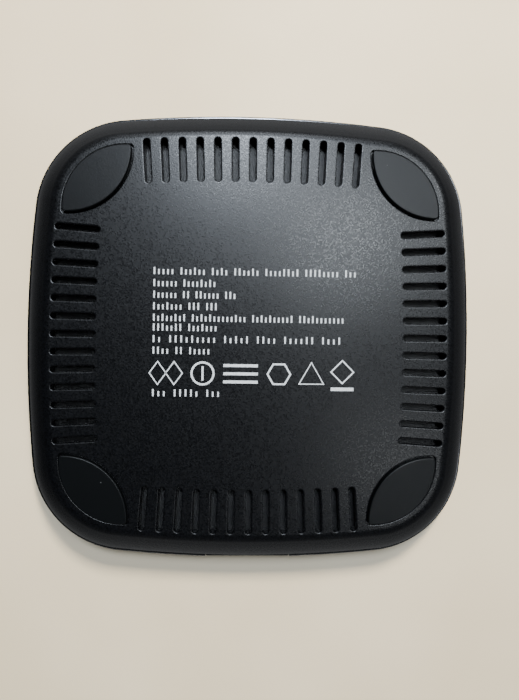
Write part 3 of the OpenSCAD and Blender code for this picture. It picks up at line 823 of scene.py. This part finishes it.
finishes = {"spark": sparkTexturedAbs(), "rubber": mouldedRubber(), "gunmetal": polishedGunmetal(),
            "satin": satinAbs(), "smooth": smoothAbs(), "silicone": mouldedSilicone(), "cloth": dustCloth(),
            "ink": printedInk(), "copper": litzCopper(), "board": solderMask(),
            "clear": plainMoulding("castAcrylic", "#c9d2d6", "#dbe2e5", 0.12, 4),
            "tinned": plainMoulding("tinnedSteel", "#9c9d9e", "#b4b5b6", 0.3, 1.5, 0.01, 1.0),
            "zinc": plainMoulding("zincPlatedSteel", "#8f9398", "#b0b3b6", 0.32, 1.2, 0.02, 1.0),
            "tape": plainMoulding("polyimideTape", "#a8641a", "#c27c26", 0.25, 5, 0.02),
            "white": plainMoulding("adhesiveTape", "#c9c7c0", "#dedcd5", 0.7, 2, 0.02),
            "ferrite": plainMoulding("sinteredFerrite", "#232326", "#36363a", 0.5, 1.5, 0.03),
            "sheet": plainMoulding("rolledAluminium", "#a4a6a8", "#bfc1c3", 0.38, 3, 0.01, 1.0),
            "epoxy": plainMoulding("epoxyBead", "#1b1b1c", "#2a2a2c", 0.3, 1),
            "gel": plainMoulding("thermalGel", "#8d9aa2", "#a5b1b8", 0.75, 1.5, 0.05),
            "lcp": plainMoulding("blackPolymer", "#0b0b0c", "#151516", 0.4, 0.8),
            "gold": plainMoulding("goldPlate", "#c99a3a", "#e0b65a", 0.25, 0.8, 0.005, 1.0),
            "chip": plainMoulding("mouldedEpoxy", "#161719", "#232426", 0.5, 0.6, 0.02),
            "ceramic": plainMoulding("ceramicBody", "#8f7a5c", "#ab9472", 0.45, 0.7, 0.02),
            "inductor": plainMoulding("pressedPowder", "#3c3d40", "#55565a", 0.55, 0.8, 0.04),
            "led": plainMoulding("ledPackage", "#d8cf9c", "#ece5b8", 0.3, 0.5)}

makers = [(makeRearCover, "spark", "abs_spark_textured", ("rear_cover",)),
          (makeMetalFrame, "gunmetal", "polished_metal", ("metal_frame",)),
          (makePortBezel, "smooth", "abs_black_smooth", ("port_bezel",)),
          (makeSocketShell, "tinned", "tinned_steel", ("usb_socket_shell",)),
          (makeLightPipe, "clear", "acrylic_clear", ("light_pipe",)),
          (makeTopCover, "satin", "abs_satin_black", ("top_cover",)),
          (makeGripRing, "silicone", "silicone_black", ("grip_ring",)),
          (makePrintedMarks, "ink", "abs_spark_textured", ())]
for maker, finish, slot, nodes in makers:
    finished(maker(), finishes[finish], slot, *nodes)



def finishedAround(first, name, finish, slot, node, turns):
    # a finished copy at every place, turned there by quarters
    for place, quarter in turns.items():
        piece = copied(first, turn=quarter * math.pi / 2)
        piece.name = name + "." + place
        finished(piece, finishes[finish], slot, node + place)
    bpy.data.objects.remove(first)


finishedAround(makeDustScreen(), "dustScreen", "cloth", "nonwoven_grey", "vent_screen_",
               {"rear": 0, "left": 1, "front": 2, "right": 3})
finishedAround(makeFoot(), "footPad", "rubber", "foot_rubber", "foot_",
               {"rear_right": 0, "rear_left": 1, "front_left": 2, "front_right": 3})

nodeFinishes = {"foot_tape_": "white", "housing_screws": "zinc", "coil_tape": "tape",
                "charging_coil": "copper", "coil_lead_": "copper", "ferrite_sheet": "ferrite",
                "shield_plate": "sheet", "thermistor": "epoxy", "thermistor_leads": "copper",
                "circuit_board": "board", "board_screws": "zinc", "thermal_pad": "gel",
                "usb_socket_tongue": "lcp", "usb_contacts": "gold", "controller_chip": "chip",
                "mosfets": "chip", "resonant_capacitors": "ceramic", "power_inductor": "inductor",
                "input_capacitors": "ceramic", "status_led": "led"}
for node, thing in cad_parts.items():
    match = [key for key in nodeFinishes if node.startswith(key)]
    if match:
        thing.data.materials.clear()
        thing.data.materials.append(finishes[nodeFinishes[max(match, key=len)]])
print("finishes are on the inner parts")


# Stage: a floor under the feet, and a tabletop that the charging surface lies on

def tableLaminate(name, dark, light):
    # pale laminate, almost matt. It shows its face only, so that the pad can be seen from behind it.
    material, tree, shader = newMaterial(name, 0.6)
    soft = grain(tree, 60 * mm, 3)
    tinted(tree, shader, soft, dark, light)
    clear = addNode(tree, "BsdfTransparent")
    side = addNode(tree, "NewGeometry")
    mix = addNode(tree, "MixShader", None, Fac=side.outputs["Backfacing"], i1=shader.outputs["BSDF"],
                  i2=clear.outputs["BSDF"])
    tree.links.new(mix.outputs["Shader"], tree.nodes["Material Output"].inputs["Surface"])
    return material


stageThings = bpy.data.collections.new("stageThings")


def stagePlane(name, z, faceDown, material):
    deselectAll()
    bpy.ops.mesh.primitive_plane_add(size=3, location=(0, 0, z), rotation=(math.pi if faceDown else 0, 0, 0))
    plane = settle(named(name))
    plane.data.materials.append(material)
    for ray in ("visible_diffuse", "visible_glossy", "visible_shadow", "visible_transmission"):
        setattr(plane, ray, False)
    stageThings.objects.link(plane)


stagePlane("floorBoard", 0, False, tableLaminate("floorLaminate", "#d6d4cf", "#dedcd7"))
stagePlane("tableTop", gripHigh.z, True, tableLaminate("tableLaminate", "#d8cbb0", "#e3d7be"))


def softLight(name, place, target, width, height, watts, colour, onlyOn=None):
    deselectAll()
    bpy.ops.object.light_add(type="AREA", location=place)
    lamp = bpy.context.active_object
    lamp.name = name
    lamp.rotation_euler = (Vector(target) - Vector(place)).to_track_quat("-Z", "Y").to_euler()
    lamp.data.shape = "RECTANGLE"
    lamp.data.size, lamp.data.size_y = width, height
    lamp.data.energy = watts
    lamp.data.color = toLinear(colour)[:3]
    if onlyOn:
        lamp.light_linking.receiver_collection = onlyOn


# from below, where the underside is seen: ceiling lamps, a low one, a window, and light on the table
softLight("ceilingBelow", (-0.02, -0.7, -1.34), (0, -0.04, 0), 0.24, 0.34, 14, "#e9f3ff")
softLight("lowBelow", (0, -1.05, -0.9), (0, -0.04, 0), 0.5, 0.16, 3, "#f0f6ff")
softLight("secondBelow", (0.29, -0.33, -1.42), (0.02, -0.02, 0), 0.22, 0.2, 4, "#f0f8ff")
softLight("farBelow", (0.68, -0.5, -1.25), (0.04, -0.03, 0), 0.24, 0.24, 3, "#f4faff")
softLight("windowBelow", (0.46, 0.32, -1.35), (0.03, 0.03, 0), 0.22, 0.36, 1.1, "#f6fbff")
softLight("tableBelow", (0.06, -0.28, -0.32), (0.02, -0.06, 0), 0.07, 0.07, 4.2, "#fff1d6", stageThings)
inkThings = bpy.data.collections.new("inkThings")
inkThings.objects.link(bpy.data.objects["printedMarks"])
softLight("printBelow", (0.1, -0.3, -0.6), (0, 0, 0), 0.2, 0.2, 7, "#ffffff", inkThings)
# from above, for the charging surface
topThings = bpy.data.collections.new("topThings")
for name in ("topCoverShell", "siliconeGripRing", "floorBoard"):
    topThings.objects.link(bpy.data.objects[name])
softLight("keyAbove", (0.5, -0.6, 0.8), (0, 0, 0), 0.5, 0.5, 14, "#fff8ef", topThings)
softLight("fillAbove", (0.1, -0.14, 1.05), (0, 0, 0), 0.6, 0.6, 9, "#eef4ff")


room = {"bow": 0.435, "lean": -0.15, "across": 0.05, "wall": 0.08, "ceiling": 0.25, "floor": 0.004,
        "backdrop": 0.55}


def softRoom():
    # a dim room whose walls are lighter towards -Y and +Y, and whose ceiling is light
    world = bpy.data.worlds.new("softRoom")
    bpy.context.scene.world = world
    world.use_nodes = True
    tree = world.node_tree
    way = addNode(tree, "SeparateXYZ", None, Vector=addNode(tree, "TexCoord").outputs["Generated"])
    x, y, z = way.outputs["X"], way.outputs["Y"], way.outputs["Z"]
    along = addNode(tree, "Math", {"operation": "MULTIPLY_ADD", 1: room["bow"], 2: room["lean"]}, i0=y)
    across = addNode(tree, "Math", {"operation": "MULTIPLY_ADD", 1: room["across"], 2: room["wall"]}, i0=x)
    walls = addNode(tree, "Math", {"operation": "MULTIPLY_ADD"}, i0=along.outputs["Value"], i1=y,
                    i2=across.outputs["Value"])
    # the walls fade towards the ceiling and the floor
    height = addNode(tree, "Math", {"operation": "MULTIPLY"}, i0=z, i1=z)
    middle = addNode(tree, "Math", {"operation": "SUBTRACT", 0: 1.0}, i1=height.outputs["Value"])
    fade = addNode(tree, "Math", {"operation": "POWER", 1: 2.0}, i0=middle.outputs["Value"])
    upper = addNode(tree, "Math", {"operation": "MAXIMUM", 1: 0.0}, i0=z)
    ceiling = addNode(tree, "Math", {"operation": "MULTIPLY_ADD", 1: room["ceiling"], 2: room["floor"]},
                      i0=upper.outputs["Value"])
    light = addNode(tree, "Math", {"operation": "MULTIPLY_ADD"}, i0=walls.outputs["Value"],
                    i1=fade.outputs["Value"], i2=ceiling.outputs["Value"])
    back = tree.nodes["Background"]
    back.inputs["Color"].default_value = toLinear("#ebedef")
    tree.links.new(light.outputs["Value"], back.inputs["Strength"])
    # what shows behind the stage is a plain pale backdrop
    backdrop = addNode(tree, "Background", {"Color": toLinear("#dcdad6"), "Strength": room["backdrop"]})
    mix = addNode(tree, "MixShader", None, Fac=addNode(tree, "LightPath").outputs["Is Camera Ray"],
                  i1=back.outputs["Background"], i2=backdrop.outputs["Background"])
    tree.links.new(mix.outputs["Shader"], tree.nodes["World Output"].inputs["Surface"])


softRoom()

view = {"place": (-1.912 * mm, 2.945 * mm, -111.698 * mm), "turn": (-179.99526, 1.93023, -0.74941),
        "lens": 27.77, "sensor": 36, "near": 1 * mm}
deselectAll()
bpy.ops.object.camera_add(location=view["place"], rotation=[math.radians(angle) for angle in view["turn"]])
camera = bpy.context.active_object
camera.data.lens = view["lens"]
camera.data.sensor_width = view["sensor"]
camera.data.clip_start = view["near"]
bpy.context.scene.camera = camera
print("stage, lights and camera are set")
